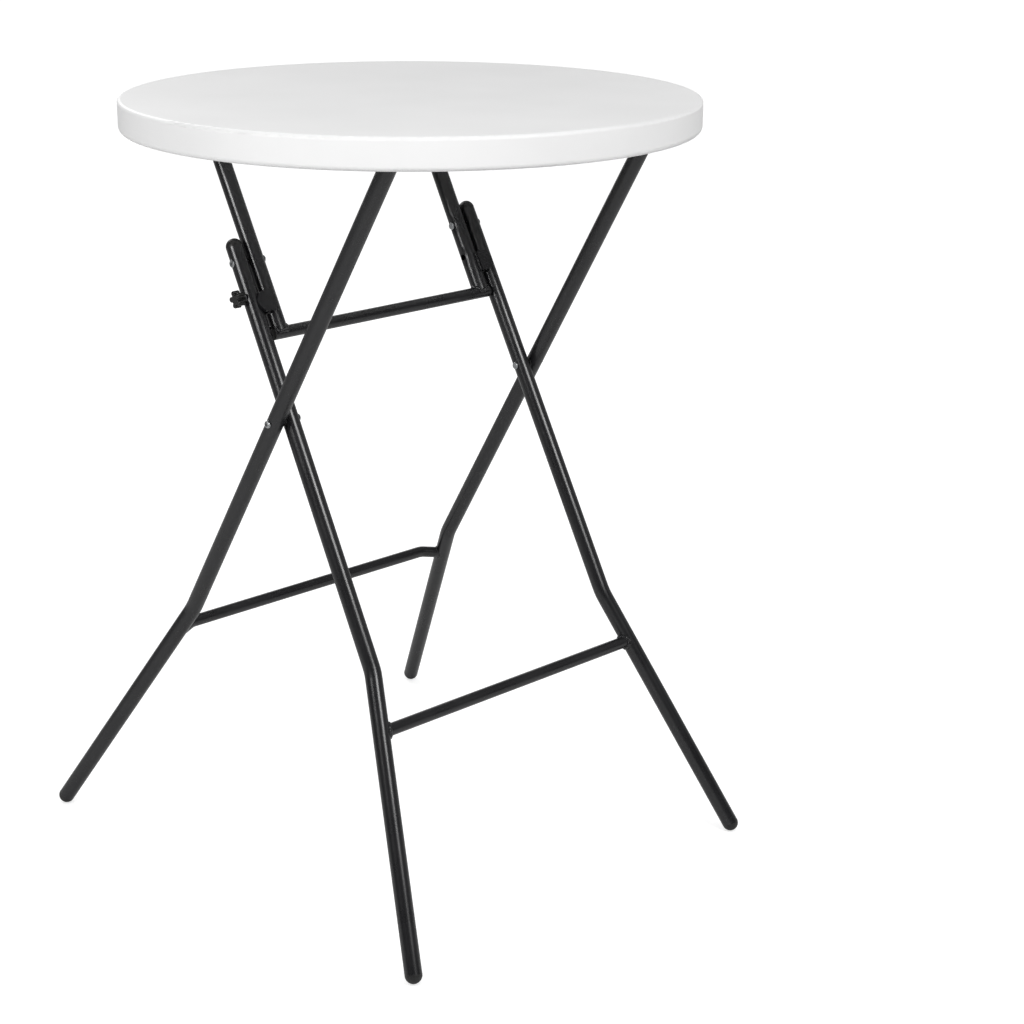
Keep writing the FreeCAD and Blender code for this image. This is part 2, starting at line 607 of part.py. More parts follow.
# Outer crossbar, cranked at both ends so that its span stands behind the frame
bar_body = body("outer_crossbar_body")
path = sketch_on(bar_body, "YZ_Plane", "outer_bar_path")
path.setExpression("AttachmentOffset.Base.z", cell("outer_bar_u"))
half_bar = size("outer_half_bar")
knee_half = half_bar - size("outer_bar_crank")
drop = size("outer_bar_offset")
corners = [Vector(-half_bar, 0, 0), Vector(-knee_half, -drop, 0), Vector(knee_half, -drop, 0), Vector(half_bar, 0, 0)]
slant = (corners[1] - corners[0]).normalize()
crank = math.degrees(math.atan2(drop, half_bar - knee_half))
level = Vector(1, 0, 0)
knee_setback = size("bar_knee_radius") * slant.cross(level).Length / (1 + slant.dot(level))
enter = corners[1] - slant * knee_setback
leave = corners[1] + level * knee_setback
bow = (level - slant).normalize()
knee_middle = corners[1] + bow * ((size("bar_knee_radius") ** 2 + knee_setback ** 2) ** 0.5 - size("bar_knee_radius"))


def flip(point):
    return Vector(-point.x, point.y, 0)


path.addGeometry(Part.LineSegment(corners[0], enter))
path.addGeometry(Part.Arc(enter, knee_middle, leave))
path.addGeometry(Part.LineSegment(leave, flip(leave)))
path.addGeometry(Part.Arc(flip(leave), flip(knee_middle), flip(enter)))
path.addGeometry(Part.LineSegment(flip(enter), corners[3]))
for radius, feature in (("bar_radius", "AdditivePipe"), ("bar_bore", "SubtractivePipe")):
    section = sketch_on(bar_body, "XZ_Plane", "outer_bar_" + radius)
    section.AttachmentOffset = Placement(Vector(0, 0, half_bar), Rotation(Vector(1, 0, 0), -crank))
    section.setExpression("AttachmentOffset.Base.x", cell("outer_bar_u"))
    circle(section, None, None, radius)
    doc.recompute()
    sweep = bar_body.newObject("PartDesign::" + feature, "outer_bar_" + feature)
    sweep.Profile = section
    sweep.Spine = (path, [])
    doc.recompute()
bar_body.Placement = outer
copes = [leg_stick(outer, side, size("outer_bar_u"), half_bar, size("outer_splay"), "cope_leg")
         for side, name in SIDES]
keep(cut(bar_body, copes), "outer_crossbar")

# Brace tubes: coped at both ends, drilled for their pivot and for the locking hole on the inside
for side, side_name in SIDES:
    placement = at(inner, 0, side * size("brace_half"), 0, DOWN_LEG)
    drills = [drill(inner, 0, "cope_leg"), drill(inner, size("brace_bar_u"), "cope_bar"),
              drill(inner, size("brace_reach"), "bolt_bore")]
    reach = size("leg_diameter")
    drills.append(hole(inner, size("lock_u"), side, "lock_hole_radius", reach, size("brace_half") - reach))
    keep(cut(tube("leg_radius", "leg_bore", "brace_bar_u", placement), drills), "brace_tube_" + side_name)

# Scissor pivots: bolt, spacer and nut through the outer and inner legs
scissor_outer = size("outer_half_scissor") + size("leg_radius")
scissor_inner = size("inner_half_scissor") - size("leg_radius")
gap_outer = size("outer_half_scissor") - size("leg_radius")
gap_inner = size("inner_half_scissor") + size("leg_radius")
for side, side_name in SIDES:
    tip = scissor_inner - size("nut_bore")
    head_seat = scissor_outer + size("seat_gap")
    head = socket_head("head_radius", "scissor_head",
                       at(outer, size("outer_reach"), side * head_seat, 0, outwards(side)))
    shank = rod("bolt_radius", head_seat - tip, at(outer, size("outer_reach"), side * tip, 0, outwards(side)))
    keep(fuse([head, shank]), "scissor_bolt_" + side_name)
    spacer = gap_outer - gap_inner - 2 * size("seat_gap")
    keep(ring("spacer_radius", "bolt_bore", spacer,
              at(outer, size("outer_reach"), side * (gap_inner + size("seat_gap")), 0, outwards(side))),
         "scissor_spacer_" + side_name)
    seat = at(outer, size("outer_reach"), side * (scissor_inner - size("seat_gap")), 0, inwards(side))
    keep(cut(low_head("nut_radius", "nut_height", seat), [rod("bolt_bore", "nut_bore", seat)]),
         "scissor_nut_" + side_name)

# Brace pivots: a headed half in the inner leg meets a nutted half in the brace between the tubes
pivot_outer = size("inner_half_pivot") + size("leg_radius")
leg_face = size("inner_half_pivot") - size("leg_radius")
brace_face = size("brace_half") + size("leg_radius")
brace_inner = size("brace_half") - size("leg_radius")
meeting = (leg_face + brace_face) / 2
for side, side_name in SIDES:
    u = size("brace_reach")
    head_seat = pivot_outer + size("seat_gap")
    collar_start = meeting + size("seat_gap") / 2
    head = socket_head("head_radius", "pivot_head", at(inner, u, side * head_seat, 0, outwards(side)))
    shank = rod("bolt_radius", head_seat - collar_start, at(inner, u, side * collar_start, 0, outwards(side)))
    collar = rod("collar_radius", leg_face - size("seat_gap") - collar_start,
                 at(inner, u, side * collar_start, 0, outwards(side)))
    keep(fuse([head, shank, collar]), "pivot_bolt_" + side_name)
    collar_end = meeting - size("seat_gap") / 2
    nut_seat = brace_inner - size("seat_gap")
    stub = rod("bolt_radius", collar_end - nut_seat, at(inner, u, side * collar_end, 0, inwards(side)))
    washer = rod("collar_radius", collar_end - brace_face - size("seat_gap"),
                 at(inner, u, side * collar_end, 0, inwards(side)))
    nut = low_head("nut_radius", "nut_height", at(inner, u, side * nut_seat, 0, inwards(side)))
    keep(fuse([stub, washer, nut]), "pivot_nut_" + side_name)

# Stop brackets on the braces: a web in the gap between the tubes and a flange over the inner leg's face
stop_face = size("inner_half_stop") - size("leg_radius")
web_face = brace_face + size("weld_gap")
for side, side_name in SIDES:
    low = size("stop_u") - size("stop_height") / 2
    flange_inside = brace_face - size("stop_back_lap")
    flange_outside = stop_face + size("stop_lap")
    flange_back = size("leg_radius") + size("seat_gap")
    flange = doc.addObject("Part::Box", "stop_flange")
    flange.setExpression("Length", cell("stop_height"))
    flange.Width = flange_outside - flange_inside
    flange.setExpression("Height", cell("stop_flange"))
    flange_v = flange_inside if side == FAR else -flange_outside
    flange.Placement = at(inner, low, flange_v, flange_back)
    doc.recompute()
    free_v = side * flange_outside
    corners = []
    for index, edge in enumerate(flange.Shape.Edges, start=1):
        local = inner.inverse().multVec(edge.CenterOfMass)
        upright_edge = abs(edge.Length - size("stop_flange")) < 1e-6
        if upright_edge and abs(local.y - free_v) < 1e-6:
            corners.append((index, size("stop_corner"), size("stop_corner")))
    eased = doc.addObject("Part::Fillet", "stop_eased")
    eased.Base = flange
    eased.Edges = corners
    web = doc.addObject("Part::Box", "stop_web")
    web.setExpression("Length", cell("stop_height"))
    web.setExpression("Width", cell("stop_web"))
    web.Height = flange_back + size("stop_web_depth") - size("stop_flange")
    web_v = web_face if side == FAR else -(web_face + size("stop_web"))
    web.Placement = at(inner, low, web_v, flange_back + size("stop_flange") - web.Height.Value)
    keep(fuse([eased, web]), "stop_bracket_" + side_name)

# Locking screw through the near inner leg, with its insert and star knob
lock_outer = size("inner_half_lock") + size("leg_radius")
insert_seat = lock_outer + size("seat_gap")
knob_seat = insert_seat + size("insert_flange") + size("seat_gap")
insert_place = at(inner, size("lock_u"), -insert_seat, 0, outwards(NEAR))
sleeve = rod("insert_radius", "insert_length", at(inner, size("lock_u"), -insert_seat, 0, inwards(NEAR)))
insert_flange = rod("insert_flange_radius", "insert_flange", insert_place)
keep(cut(fuse([sleeve, insert_flange]), [drill(inner, size("lock_u"), "lock_bore")]), "lock_insert")
screw_tip = web_face + size("stop_web") + size("seat_gap")
screw_end = knob_seat + size("knob_socket")
keep(rod("lock_radius", screw_end - screw_tip, at(inner, size("lock_u"), -screw_tip, 0, outwards(NEAR))), "lock_screw")

knob = body("lock_knob_body")
KNOB_SIZES = {"hub": size("knob_hub_diameter") / 2, "lobe": size("knob_lobe_diameter") / 2,
              "neck": size("knob_neck_diameter") / 2}
lobe_ring = size("knob_diameter") / 2 - KNOB_SIZES["lobe"]
neck_sketch = sketch_on(knob, "XY_Plane", "knob_neck_section")
neck_sketch.addGeometry(Part.Circle(Vector(), Vector(0, 0, 1), KNOB_SIZES["neck"]))
doc.recompute()
neck = knob.newObject("PartDesign::Pad", "knob_neck_pad")
neck.Profile = neck_sketch
neck.setExpression("Length", cell("knob_neck"))
doc.recompute()
for part_name, centre in (("hub", 0.0), ("lobe", -lobe_ring)):
    section = sketch_on(knob, "XY_Plane", "knob_%s_section" % part_name)
    section.setExpression("AttachmentOffset.Base.z", cell("knob_neck"))
    section.addGeometry(Part.Circle(Vector(centre, 0, 0), Vector(0, 0, 1), KNOB_SIZES[part_name]))
    doc.recompute()
    pad = knob.newObject("PartDesign::Pad", "knob_%s_pad" % part_name)
    pad.Profile = section
    pad.setExpression("Length", cell("knob_height"))
    doc.recompute()
lobes = knob.newObject("PartDesign::PolarPattern", "knob_lobes")
lobes.Originals = [pad]
lobes.Axis = ([item for item in knob.Origin.OriginFeatures if item.Role == "Z_Axis"][0], [""])
lobes.Angle = 360
lobes.Occurrences = LOBE_COUNT
knob.Tip = lobes
doc.recompute()
knob_top = size("knob_neck") + size("knob_height")
rim = []
for index, edge in enumerate(lobes.Shape.Edges, start=1):
    if edge.BoundBox.ZMin > knob_top - 1e-6:
        rim.append("Edge%d" % index)
softened = knob.newObject("PartDesign::Fillet", "knob_softened")
softened.Base = (lobes, rim)
softened.setExpression("Radius", cell("knob_round"))
doc.recompute()
knob.Placement = at(inner, size("lock_u"), -knob_seat, 0, outwards(NEAR))
socket = rod("lock_bore", "knob_socket", at(inner, size("lock_u"), -knob_seat, 0, outwards(NEAR)))
keep(cut(knob, [socket]), "lock_knob")

# Every piece is checked before anything is written
doc.recompute()
for item in doc.Objects:
    if "Invalid" in item.State or "Error" in item.State:
        raise RuntimeError("%s failed: %s" % (item.Label, item.State))
for piece in pieces:
    if piece.Shape.isNull() or not piece.Shape.isValid() or not piece.Shape.Solids:
        raise RuntimeError("%s has no valid solid" % piece.Label)

os.makedirs("parts", exist_ok=True)
for piece in pieces:
    piece.Shape.exportStep("parts/%s.step" % piece.Label)
print("pieces:", len(pieces))
print("brace reach %.2f, outer reach %.2f, inner reach %.2f" %
      (size("brace_reach"), size("outer_reach"), size("inner_reach")))
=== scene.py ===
import json
import math

import bpy
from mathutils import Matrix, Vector


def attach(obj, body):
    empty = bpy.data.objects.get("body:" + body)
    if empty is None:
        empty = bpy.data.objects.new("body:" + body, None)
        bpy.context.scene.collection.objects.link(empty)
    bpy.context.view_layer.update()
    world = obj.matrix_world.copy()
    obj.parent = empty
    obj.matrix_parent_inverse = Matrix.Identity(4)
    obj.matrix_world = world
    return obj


# Folding cocktail table: white moulded top, black powder coated tube frames.
# Lengths are metres; the frame is the model's own, +Z up, floor at Z = 0.

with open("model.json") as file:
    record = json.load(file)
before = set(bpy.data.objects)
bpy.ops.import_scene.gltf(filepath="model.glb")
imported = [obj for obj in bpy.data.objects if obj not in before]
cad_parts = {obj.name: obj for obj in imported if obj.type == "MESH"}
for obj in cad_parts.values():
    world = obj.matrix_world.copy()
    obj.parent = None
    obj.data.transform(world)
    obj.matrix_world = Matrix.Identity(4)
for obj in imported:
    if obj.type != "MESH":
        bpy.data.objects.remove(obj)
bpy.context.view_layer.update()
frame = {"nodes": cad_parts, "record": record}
nodes = frame["nodes"]

# Places taken over from the model: U runs down the legs, half widths run across from the middle
HINGE_Z = 1.075
OUTER_HINGE_X = 0.25417
BRACE_HINGE_X = -0.20049
OUTER_LEAN = math.radians(58.2)
INNER_LEAN = math.radians(61.77)
LEG_RADIUS = 0.012
BAR_RADIUS = 0.00875
OUTER_HINGE_HALF = 0.23998
OUTER_BAR_U = 0.90094
OUTER_BAR_HALF = 0.26840
OUTER_BAR_CRANK = 0.0375
OUTER_BAR_OFFSET = 0.014
OUTER_SPLAY = 0.2569
INNER_BAR_U = 0.89211
INNER_BAR_HALF = 0.24620
INNER_SPLAY = 0.2430
BRACE_HALF = 0.19070
BRACE_BAR_U = 0.32535
PIVOT_U = 0.21835
LOCK_U = 0.26835
STOP_U = 0.28085
STOP_HEIGHT = 0.030
FLANGE_EDGE = 0.1952
# The collars of the brace pivots lie between the braces and this half width, above this height; their
# zinc is painted near black there, as painted shade of the gap between the tubes
COLLAR_END = 0.210
COLLAR_LOW = 0.80
SIDES = (("near", -1), ("far", 1))


def outer_point(u, v, w):
    """A point of the outer frame: u down the legs, v across, w out of the frame's lower face."""
    c, s = math.cos(OUTER_LEAN), math.sin(OUTER_LEAN)
    return Vector((OUTER_HINGE_X - u * c + w * s, v, HINGE_Z - u * s - w * c))


def inner_point(u, v, w):
    """A point of the inner and brace frames: u down the legs, v across, w out of the upper face."""
    c, s = math.cos(INNER_LEAN), math.sin(INNER_LEAN)
    return Vector((BRACE_HINGE_X + u * c + w * s, v, HINGE_Z - u * s + w * c))


# Materials

# Sizes of what the finishes show
COAT_CLOUD = 0.06
PEEL_WIDTH = 0.004
PEEL_HEIGHT = 0.000005
DENT_BOTTOM = 0.003
DENT_REACH = 0.017
DENT_DEPTH = 0.0012
PANEL_CLOUD = 0.18
PANEL_WAVE = 0.11
PANEL_GRAIN = 0.0012
PANEL_GRAIN_HEIGHT = 0.0002
CAP_GRAIN = 0.0008
SADDLE_GRAIN = 0.0005
KNOB_GRAIN = 0.0006
BLACK_GRAIN_HEIGHT = 0.0001
ZINC_CLOUD = 0.004
THREAD_PITCH = 0.001
THREAD_HEIGHT = 0.0012


def linear(code):
    """An sRGB hex colour as linear red, green, blue and alpha."""
    parts = [int(code[i:i + 2], 16) / 255 for i in (1, 3, 5)]
    return [p / 12.92 if p <= 0.04045 else ((p + 0.055) / 1.055) ** 2.4 for p in parts] + [1.0]


def add_node(tree, kind, inputs=None, stops=(), **settings):
    """Adds a node, sets its properties and colour stops, and sets or links its inputs."""
    made = tree.nodes.new(kind)
    for key, value in settings.items():
        setattr(made, key, value)
    for index, (position, code) in enumerate(stops):
        made.color_ramp.elements[index].position = position
        made.color_ramp.elements[index].color = linear(code)
    for key, value in (inputs or {}).items():
        if isinstance(value, bpy.types.NodeSocket):
            tree.links.new(value, made.inputs[key])
        else:
            made.inputs[key].default_value = value
    return made


def new_material(name):
    material = bpy.data.materials.new(name)
    material.use_nodes = True
    material.node_tree.nodes.clear()
    return material, material.node_tree


def powder_coat():
    """Black polyester powder coat, sprayed and baked on steel tube.
    It levels into a fine orange peel about 4 mm across, glossy and nearly even in colour.
    The tube wall under it is pressed in round the bolt and the locking hole of each brace."""
    material, tree = new_material("black_powder_coat_baked")
    place = add_node(tree, "ShaderNodeTexCoord").outputs["Object"]
    cloud = add_node(tree, "ShaderNodeTexNoise",
                     {"Vector": place, "Scale": 1 / COAT_CLOUD, "Detail": 3.0}).outputs["Fac"]
    tone = add_node(tree, "ShaderNodeValToRGB", {"Fac": cloud},
                    stops=((0.3, "#18181a"), (0.7, "#1e1e20")))
    gloss = add_node(tree, "ShaderNodeMapRange",
                     {"Value": cloud, "From Min": 0.3, "From Max": 0.7, "To Min": 0.25, "To Max": 0.31})
    peel = add_node(tree, "ShaderNodeTexNoise",
                    {"Vector": place, "Scale": 1 / PEEL_WIDTH, "Detail": 2.0, "Roughness": 0.45})
    height = add_node(tree, "ShaderNodeMath", {0: peel.outputs["Fac"], 1: PEEL_HEIGHT},
                      operation="MULTIPLY").outputs["Value"]
    for u in (PIVOT_U, LOCK_U):
        for _, side in SIDES:
            spot = inner_point(u, side * (BRACE_HALF - LEG_RADIUS), 0)
            reach = add_node(tree, "ShaderNodeVectorMath", {0: place, 1: spot}, operation="DISTANCE")
            dent = add_node(tree, "ShaderNodeMapRange",
                            {"Value": reach.outputs["Value"], "From Min": DENT_BOTTOM,
                             "From Max": DENT_REACH, "To Min": -DENT_DEPTH, "To Max": 0.0},
                            interpolation_type="SMOOTHSTEP")
            height = add_node(tree, "ShaderNodeMath",
                              {0: height, 1: dent.outputs["Result"]}).outputs["Value"]
    bump = add_node(tree, "ShaderNodeBump", {"Height": height, "Strength": 1.0, "Distance": 1.0})
    shader = add_node(tree, "ShaderNodeBsdfPrincipled",
                      {"Base Color": tone.outputs["Color"], "Roughness": gloss.outputs["Result"],
                       "Normal": bump.outputs["Normal"], "IOR": 1.55})
    add_node(tree, "ShaderNodeOutputMaterial", {"Surface": shader.outputs[0]})
    return material


def moulded_polyethylene():
    """White high density polyethylene, blow moulded.
    The mould gives it a fine satin grain, drawn here at 1.2 mm so that it shows, a waxy half sheen
    and a slow wave in the broad panel."""
    material, tree = new_material("white_polyethylene_blow_moulded")
    place = add_node(tree, "ShaderNodeTexCoord").outputs["Object"]
    cloud = add_node(tree, "ShaderNodeTexNoise",
                     {"Vector": place, "Scale": 1 / PANEL_CLOUD, "Detail": 2.0})
    tone = add_node(tree, "ShaderNodeValToRGB", {"Fac": cloud.outputs["Fac"]},
                    stops=((0.3, "#ededed"), (0.7, "#f1f1f1")))
    grain = add_node(tree, "ShaderNodeTexNoise",
                     {"Vector": place, "Scale": 1 / PANEL_GRAIN, "Detail": 2.0, "Roughness": 0.5})
    wave = add_node(tree, "ShaderNodeTexNoise",
                    {"Vector": place, "Scale": 1 / PANEL_WAVE, "Detail": 1.0})
    height = add_node(tree, "ShaderNodeMath",
                      {0: wave.outputs["Fac"], 1: 6.0, 2: grain.outputs["Fac"]},
                      operation="MULTIPLY_ADD")
    bump = add_node(tree, "ShaderNodeBump",
                    {"Height": height.outputs["Value"], "Strength": 0.05,
                     "Distance": PANEL_GRAIN_HEIGHT})
    shader = add_node(tree, "ShaderNodeBsdfPrincipled",
                      {"Base Color": tone.outputs["Color"], "Roughness": 0.50,
                       "Normal": bump.outputs["Normal"], "IOR": 1.52,
                       "Subsurface Weight": 0.05, "Subsurface Radius": (0.004, 0.004, 0.004)})
    add_node(tree, "ShaderNodeOutputMaterial", {"Surface": shader.outputs[0]})
    return material


def moulded_black(name, grain_size, roughness):
    """Black plastic, injection moulded: a fine grain from the mould and a soft, low sheen."""
    material, tree = new_material(name)
    place = add_node(tree, "ShaderNodeTexCoord").outputs["Object"]
    grain = add_node(tree, "ShaderNodeTexNoise",
                     {"Vector": place, "Scale": 1 / grain_size, "Detail": 2.0}).outputs["Fac"]
    tone = add_node(tree, "ShaderNodeValToRGB", {"Fac": grain},
                    stops=((0.35, "#1b1b1b"), (0.65, "#242424")))
    bump = add_node(tree, "ShaderNodeBump",
                    {"Height": grain, "Strength": 0.2, "Distance": BLACK_GRAIN_HEIGHT})
    shader = add_node(tree, "ShaderNodeBsdfPrincipled",
                      {"Base Color": tone.outputs["Color"], "Roughness": roughness,
                       "Normal": bump.outputs["Normal"], "IOR": 1.46})
    add_node(tree, "ShaderNodeOutputMaterial", {"Surface": shader.outputs[0]})
    return material


def zinc_plate():
    """Bright zinc plate on turned steel bolts: cool grey metal, a little cloudy from the bath.
    The collars between the tubes, in the narrow gap between brace and inner leg, are painted near black
    as painted shade."""
    material, tree = new_material("bright_zinc_plate")
    place = add_node(tree, "ShaderNodeTexCoord").outputs["Object"]
    cloud = add_node(tree, "ShaderNodeTexNoise",
                     {"Vector": place, "Scale": 1 / ZINC_CLOUD, "Detail": 3.0}).outputs["Fac"]
    # Painted shade: zinc between the brace half width and COLLAR_END, above COLLAR_LOW, takes the near
    # black tone, in place of the shade in the gap between the tubes
    parts = add_node(tree, "ShaderNodeSeparateXYZ", {"Vector": place})
    across = add_node(tree, "ShaderNodeMath", {0: parts.outputs["Y"]}, operation="ABSOLUTE")
    unshaded_mask = add_node(tree, "ShaderNodeMath", {0: across.outputs["Value"], 1: COLLAR_END},
                     operation="GREATER_THAN")
    nut = add_node(tree, "ShaderNodeMath", {0: across.outputs["Value"], 1: BRACE_HALF},
                   operation="LESS_THAN")
    low = add_node(tree, "ShaderNodeMath", {0: parts.outputs["Z"], 1: COLLAR_LOW},
                   operation="LESS_THAN")
    for other in (nut, low):
        unshaded_mask = add_node(tree, "ShaderNodeMath",
                         {0: unshaded_mask.outputs["Value"], 1: other.outputs["Value"]}, operation="MAXIMUM")
    bright = add_node(tree, "ShaderNodeValToRGB", {"Fac": cloud},
                      stops=((0.3, "#9fa2a4"), (0.7, "#bfc1c2")))
    # Near black tone of the painted shade on the collars
    black = add_node(tree, "ShaderNodeValToRGB", {"Fac": cloud},
                     stops=((0.3, "#141414"), (0.7, "#1e1e1e")))
    tone = add_node(tree, "ShaderNodeMixRGB",
                    {"Fac": unshaded_mask.outputs["Value"], "Color1": black.outputs["Color"],
                     "Color2": bright.outputs["Color"]})
    gloss = add_node(tree, "ShaderNodeMapRange", {"Value": cloud, "To Min": 0.28, "To Max": 0.42})
    shader = add_node(tree, "ShaderNodeBsdfPrincipled",
                      {"Base Color": tone.outputs["Color"], "Metallic": 1.0,
                       "Roughness": gloss.outputs["Result"]})
    add_node(tree, "ShaderNodeOutputMaterial", {"Surface": shader.outputs[0]})
    return material


def rolled_thread():
    """Zinc plated steel with a rolled thread of 1 mm pitch: the crests keep the zinc colour and the
    roots are painted darker, as painted shade in the grooves.
    """
    material, tree = new_material("zinc_plate_rolled_thread")
    place = add_node(tree, "ShaderNodeTexCoord").outputs["Object"]
    middle = inner_point(LOCK_U, 0, 0)
    local = add_node(tree, "ShaderNodeVectorMath", {0: place, 1: middle}, operation="SUBTRACT")
    parts = add_node(tree, "ShaderNodeSeparateXYZ", {"Vector": local.outputs["Vector"]})
    turn = add_node(tree, "ShaderNodeMath", {0: parts.outputs["Z"], 1: parts.outputs["X"]},
                    operation="ARCTAN2")
    turns = add_node(tree, "ShaderNodeMath", {0: turn.outputs["Value"], 1: 2 * math.pi},
                     operation="DIVIDE")
    pitches = add_node(tree, "ShaderNodeMath",
                       {0: parts.outputs["Y"], 1: 1 / THREAD_PITCH, 2: turns.outputs["Value"]},
                       operation="MULTIPLY_ADD")
    thread = add_node(tree, "ShaderNodeMath", {0: pitches.outputs["Value"], 1: 0.5},
                      operation="PINGPONG").outputs["Value"]
    # Painted shade: the roots of the thread take the darker colour, the crests the lighter zinc colour
    tone = add_node(tree, "ShaderNodeValToRGB", {"Fac": thread},
                    stops=((0.1, "#6f7274"), (0.4, "#b9bbbc")))
    bump = add_node(tree, "ShaderNodeBump",
                    {"Height": thread, "Strength": 1.0, "Distance": THREAD_HEIGHT})
    shader = add_node(tree, "ShaderNodeBsdfPrincipled",
                      {"Base Color": tone.outputs["Color"], "Metallic": 1.0, "Roughness": 0.36,
                       "Normal": bump.outputs["Normal"]})
    add_node(tree, "ShaderNodeOutputMaterial", {"Surface": shader.outputs[0]})
    return material


coat = powder_coat()
nylon = moulded_black("black_nylon_moulded", SADDLE_GRAIN, 0.5)
SLOT_FINISH = {
    "top_plastic": moulded_polyethylene(),
    "frame_coat": coat,
    "cap_plastic": moulded_black("black_polyethylene_moulded", CAP_GRAIN, 0.45),
    "saddle_nylon": nylon,
    "spacer_nylon": nylon,
    "knob_plastic": moulded_black("black_polyamide_knob_moulded", KNOB_GRAIN, 0.24),
    "zinc_steel": zinc_plate(),
}
slot_of = {entry["node"]: entry["material_slot"] for entry in frame["record"]["subparts"]}
for name, piece in nodes.items():
    for slot in piece.material_slots:
        slot.material = SLOT_FINISH[slot_of[name]]
for slot in nodes["lock_screw"].material_slots:
    slot.material = rolled_thread()


# Welds: overlapping drops along the joint, melted into one bead

# Radius of a drop, and the number of drops round a crossbar and round a leg
INNER_BAR_DROP = 0.0036
OUTER_BAR_DROP = 0.0016
HINGE_DROP = 0.0022
BRACE_BAR_DROP = 0.0028
TACK_DROP = 0.0015
FLANGE_DROP = 0.0018
BAR_DROPS = 26
LEG_DROPS = 34
# The drops swell and shrink along the bead by this share, at this rhythm
DROP_SWELL = 0.14
DROP_RHYTHM = 2.4
MELT_VOXEL = 0.0006
# Spacing of the drops on the stop brackets, and how far they sit in and off the flange's edge
TACK_STEP = 0.0016
FLANGE_STEP = 0.0022
FLANGE_SINK = 0.0004
FLANGE_LIFT = 0.0003


def weld(name, body, points, drop):
    bpy.ops.object.select_all(action="DESELECT")
    bpy.ops.mesh.primitive_uv_sphere_add(segments=12, ring_count=8, radius=drop, location=points[0])
    bead = bpy.context.active_object
    bead.name = name
    bpy.ops.object.transform_apply(location=True, rotation=True, scale=True)
    bpy.ops.object.mode_set(mode="EDIT")
    for index, point in enumerate(points[1:]):
        size = drop * (1.0 + DROP_SWELL * math.sin(DROP_RHYTHM * index))
        bpy.ops.mesh.primitive_uv_sphere_add(segments=12, ring_count=8, radius=size, location=point)
    bpy.ops.object.mode_set(mode="OBJECT")
    melt = bead.modifiers.new("melt", "REMESH")
    melt.mode = "VOXEL"
    melt.voxel_size = MELT_VOXEL
    bpy.ops.object.modifier_apply(modifier="melt")
    ease = bead.modifiers.new("ease", "SMOOTH")
    ease.iterations = 2
    bpy.ops.object.modifier_apply(modifier="ease")
    bpy.ops.object.shade_smooth()
    bead.data.materials.append(coat)
    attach(bead, body)


def saddle_points(centre, run, axis, tube_radius, seat_radius, count):
    """Points round a tube where its end meets a round tube: run points out of the joint along the tube,
    axis along the tube that it meets."""
    run = run.normalized()
    across = run.cross(axis).normalized()
    side = across.cross(run).normalized()
    slope = -axis.dot(run) / axis.dot(side)
    lift = 1.0 / math.sqrt(1.0 - axis.dot(run) ** 2)
    points = []
    for step in range(count):
        turn = 2 * math.pi * step / count
        a, b = tube_radius * math.cos(turn), tube_radius * math.sin(turn)
        rise = math.sqrt(max(seat_radius ** 2 - b ** 2, 0.0)) * lift - a * slope
        points.append(centre + side * a + across * b + run * rise)
    return points


ACROSS = Vector((0, 1, 0))
OUTER_RUN = outer_point(1, 0, 0) - outer_point(0, 0, 0)
INNER_RUN = inner_point(1, 0, 0) - inner_point(0, 0, 0)
for side_name, side in SIDES:
    # Crossbars on the splayed legs
    centre = inner_point(INNER_BAR_U, side * INNER_BAR_HALF, 0)
    leg = (inner_point(1, side * INNER_SPLAY, 0) - inner_point(0, 0, 0)).normalized()
    weld("inner_bar_weld_" + side_name, "inner_frame",
         saddle_points(centre, -side * ACROSS, leg, BAR_RADIUS, LEG_RADIUS, BAR_DROPS), INNER_BAR_DROP)
    centre = outer_point(OUTER_BAR_U, side * OUTER_BAR_HALF, 0)
    leg = (outer_point(1, side * OUTER_SPLAY, 0) - outer_point(0, 0, 0)).normalized()
    bar = outer_point(0, -side * OUTER_BAR_CRANK, -OUTER_BAR_OFFSET) - outer_point(0, 0, 0)
    weld("outer_bar_weld_" + side_name, "outer_frame",
         saddle_points(centre, bar, leg, BAR_RADIUS, LEG_RADIUS, BAR_DROPS), OUTER_BAR_DROP)
    # Legs and braces on their hinge tubes, and braces on their crossbar
    centre = outer_point(0, side * OUTER_HINGE_HALF, 0)
    weld("outer_hinge_weld_" + side_name, "outer_frame",
         saddle_points(centre, OUTER_RUN, ACROSS, LEG_RADIUS, LEG_RADIUS, LEG_DROPS), HINGE_DROP)
    centre = inner_point(0, side * BRACE_HALF, 0)
    weld("brace_hinge_weld_" + side_name, "brace_frame",
         saddle_points(centre, INNER_RUN, ACROSS, LEG_RADIUS, LEG_RADIUS, LEG_DROPS), HINGE_DROP)
    centre = inner_point(BRACE_BAR_U, side * BRACE_HALF, 0)
    weld("brace_bar_weld_" + side_name, "brace_frame",
         saddle_points(centre, -INNER_RUN, ACROSS, LEG_RADIUS, BAR_RADIUS, LEG_DROPS), BRACE_BAR_DROP)
    # Stop bracket, tacked to the brace above and below
    tack = side * (BRACE_HALF + LEG_RADIUS)
    for spot, u in (("upper", STOP_U - STOP_HEIGHT / 2), ("lower", STOP_U + STOP_HEIGHT / 2)):
        line = [inner_point(u, tack, step * TACK_STEP) for step in range(-2, 6)]
        weld("stop_weld_%s_%s" % (spot, side_name), "brace_frame", line, TACK_DROP)
    # And along the edge of its flange
    edge = side * (FLANGE_EDGE - FLANGE_SINK)
    line = [inner_point(STOP_U + step * FLANGE_STEP, edge, LEG_RADIUS + FLANGE_LIFT)
            for step in range(-6, 7)]
    weld("stop_flange_weld_" + side_name, "brace_frame", line, FLANGE_DROP)


# Floor, light and camera

